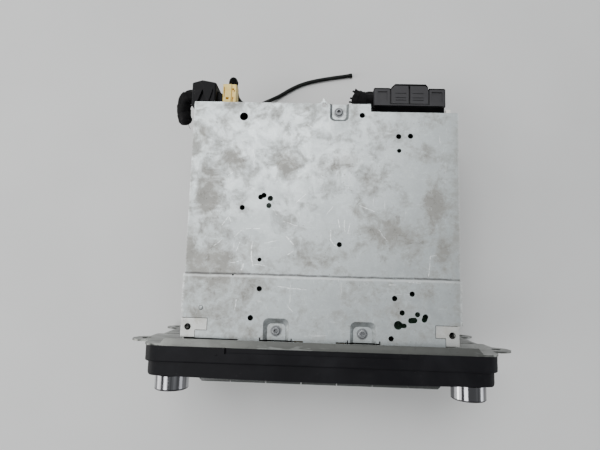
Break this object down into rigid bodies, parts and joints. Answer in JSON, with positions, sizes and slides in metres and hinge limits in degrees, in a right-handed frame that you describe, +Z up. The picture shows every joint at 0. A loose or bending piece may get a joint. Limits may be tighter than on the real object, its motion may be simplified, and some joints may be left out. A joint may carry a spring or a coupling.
{
  "type": "car radio",
  "caption": "Double-height car radio lying with its perforated metal cover up: folded chassis, eared mounting plate, black face with two chrome knobs and a row of keys, rear harness plugs",
  "frame": {"origin": "centre of the overall box at its base, free cord left out: the base is the lower edge of the face surround", "axes": "+X across the radio to the viewer's right when the face is towards the viewer, +Y towards the rear sockets, +Z up out of the perforated cover"},
  "size_m": [0.2556, 0.2621, 0.111],
  "materials": {
    "zinc_cover": "zinc plated, stained and scratched",
    "zinc_light": "zinc plated, light",
    "zinc_plate": "zinc plated, reflective",
    "steel": "bright steel",
    "screw_steel": "plated screw",
    "black_anodised": "black anodised, satin",
    "black_plastic": "matte, fine grain",
    "gloss_black": "gloss",
    "key_plastic": "semi gloss",
    "smoked_lens": "smoked clear",
    "lcd": "dark display",
    "pcb": "green board",
    "chip_black": "moulded",
    "can_sleeve": "dark sleeve",
    "flex": "amber film",
    "felt": "felt",
    "chrome": "polished",
    "connector_black": "moulded",
    "socket_black": "moulded",
    "connector_grey": "moulded",
    "beige_plastic": "moulded, beige",
    "cable_black": "sheath",
    "cloth_tape": "cloth tape",
    "rubber": "soft",
    "white_plastic": "nylon"
  },
  "bodies": {
    "chassis": {"cover": "zinc_cover", "cover_screws": "screw_steel", "chassis_tray": "zinc_plate", "bracket_left": "zinc_light", "bracket_right": "zinc_light", "mounting_plate": "zinc_plate", "rear_panel": "zinc_plate", "heatsink": "black_anodised", "nylon_clip": "white_plastic", "bezel": "black_plastic", "fascia": "gloss_black", "display_lens": "smoked_lens", "lcd_module": "lcd", "front_board": "pcb", "slot_felt": "felt", "volume_encoder": "steel", "tune_encoder": "steel", "main_board": "pcb", "tuner_can": "steel", "amplifier_chip": "chip_black", "capacitors": "can_sleeve", "ribbon_cable": "flex", "main_socket": "socket_black", "aux_socket": "socket_black", "coax_socket": "beige_plastic", "mech_frame": "steel", "dampers": "rubber", "spindle_motor": "steel", "sled_rails": "steel", "main_plug": "connector_grey", "aux_plug": "connector_black", "coax_plug": "beige_plastic", "coax_boot": "rubber", "coax_cord": "cable_black", "taped_stub_left": "cloth_tape", "taped_stub_right": "cloth_tape"},
    "volume_post": {"volume_post": "steel"},
    "volume_knob": {"volume_knob": "chrome", "volume_cap": "gloss_black"},
    "tune_post": {"tune_post": "steel"},
    "tune_knob": {"tune_knob": "chrome", "tune_cap": "gloss_black"},
    "key_1": {"key_1": "key_plastic"},
    "key_2": {"key_2": "key_plastic"},
    "key_3": {"key_3": "key_plastic"},
    "key_4": {"key_4": "key_plastic"},
    "key_5": {"key_5": "key_plastic"},
    "key_6": {"key_6": "key_plastic"},
    "key_7": {"key_7": "key_plastic"},
    "button_left_1": {"button_left_1": "key_plastic"},
    "button_left_2": {"button_left_2": "key_plastic"},
    "button_right_1": {"button_right_1": "key_plastic"},
    "button_right_2": {"button_right_2": "key_plastic"},
    "eject_button": {"eject_button": "key_plastic"},
    "turntable": {"turntable": "gloss_black"},
    "pickup_sled": {"pickup_sled": "chip_black"},
    "lead_screw": {"lead_screw": "steel"},
    "feed_roller": {"feed_roller": "rubber"},
    "clamp_arm": {"clamp_arm": "steel"},
    "plug_lever": {"plug_lever": "connector_black"}
  },
  "joints": [
    {"name": "volume_push", "type": "slide", "parent": "chassis", "child": "volume_post", "axis": [0, 1, 0], "range_m": [0, 0.0005], "stiffness_N_per_m": 900, "springref_m": -0.0006},
    {"name": "volume_turn", "type": "hinge", "parent": "volume_post", "child": "volume_knob", "pos_m": [-0.096, -0.1021, 0.0955], "axis": [0, 1, 0], "continuous": true},
    {"name": "tune_push", "type": "slide", "parent": "chassis", "child": "tune_post", "axis": [0, 1, 0], "range_m": [0, 0.0005], "stiffness_N_per_m": 900, "springref_m": -0.0006},
    {"name": "tune_turn", "type": "hinge", "parent": "tune_post", "child": "tune_knob", "pos_m": [0.096, -0.1021, 0.0955], "axis": [0, 1, 0], "continuous": true},
    {"name": "key_1_press", "type": "slide", "parent": "chassis", "child": "key_1", "axis": [0, 1, 0], "range_m": [0, 0.0007], "stiffness_N_per_m": 700, "springref_m": -0.0006},
    {"name": "key_2_press", "type": "slide", "parent": "chassis", "child": "key_2", "axis": [0, 1, 0], "range_m": [0, 0.0007], "stiffness_N_per_m": 700, "springref_m": -0.0006},
    {"name": "key_3_press", "type": "slide", "parent": "chassis", "child": "key_3", "axis": [0, 1, 0], "range_m": [0, 0.0007], "stiffness_N_per_m": 700, "springref_m": -0.0006},
    {"name": "key_4_press", "type": "slide", "parent": "chassis", "child": "key_4", "axis": [0, 1, 0], "range_m": [0, 0.0007], "stiffness_N_per_m": 700, "springref_m": -0.0006},
    {"name": "key_5_press", "type": "slide", "parent": "chassis", "child": "key_5", "axis": [0, 1, 0], "range_m": [0, 0.0007], "stiffness_N_per_m": 700, "springref_m": -0.0006},
    {"name": "key_6_press", "type": "slide", "parent": "chassis", "child": "key_6", "axis": [0, 1, 0], "range_m": [0, 0.0007], "stiffness_N_per_m": 700, "springref_m": -0.0006},
    {"name": "key_7_press", "type": "slide", "parent": "chassis", "child": "key_7", "axis": [0, 1, 0], "range_m": [0, 0.0007], "stiffness_N_per_m": 700, "springref_m": -0.0006},
    {"name": "button_left_1_press", "type": "slide", "parent": "chassis", "child": "button_left_1", "axis": [0, 1, 0], "range_m": [0, 0.0007], "stiffness_N_per_m": 700, "springref_m": -0.0006},
    {"name": "button_left_2_press", "type": "slide", "parent": "chassis", "child": "button_left_2", "axis": [0, 1, 0], "range_m": [0, 0.0007], "stiffness_N_per_m": 700, "springref_m": -0.0006},
    {"name": "button_right_1_press", "type": "slide", "parent": "chassis", "child": "button_right_1", "axis": [0, 1, 0], "range_m": [0, 0.0007], "stiffness_N_per_m": 700, "springref_m": -0.0006},
    {"name": "button_right_2_press", "type": "slide", "parent": "chassis", "child": "button_right_2", "axis": [0, 1, 0], "range_m": [0, 0.0007], "stiffness_N_per_m": 700, "springref_m": -0.0006},
    {"name": "eject_press", "type": "slide", "parent": "chassis", "child": "eject_button", "axis": [0, 1, 0], "range_m": [0, 0.0007], "stiffness_N_per_m": 700, "springref_m": -0.0006},
    {"name": "disc_spin", "type": "hinge", "parent": "chassis", "child": "turntable", "pos_m": [0, 0.0009, 0.022], "axis": [0, 0, 1], "continuous": true},
    {"name": "sled_travel", "type": "slide", "parent": "chassis", "child": "pickup_sled", "axis": [0, 1, 0], "range_m": [0, 0.027]},
    {"name": "screw_turn", "type": "hinge", "parent": "chassis", "child": "lead_screw", "pos_m": [0.026, 0.0329, 0.03], "axis": [0, 1, 0], "range_deg": [0, 3245]},
    {"name": "roller_spin", "type": "hinge", "parent": "chassis", "child": "feed_roller", "pos_m": [0, -0.0631, 0.026], "axis": [1, 0, 0], "continuous": true},
    {"name": "clamp_lift", "type": "hinge", "parent": "chassis", "child": "clamp_arm", "pos_m": [0, 0.0539, 0.0135], "axis": [1, 0, 0], "range_deg": [0, 2.4], "stiffness_Nm_per_rad": 0.08, "springref_deg": -22.92},
    {"name": "lever_release", "type": "hinge", "parent": "chassis", "child": "plug_lever", "pos_m": [0.0595, 0.1051, 0.072], "axis": [-1, 0, 0], "range_deg": [0, 75]}
  ],
  "couplings": [
    {"joint": "screw_turn", "follows": "sled_travel", "rad_per_m": 2094.4}
  ]
}
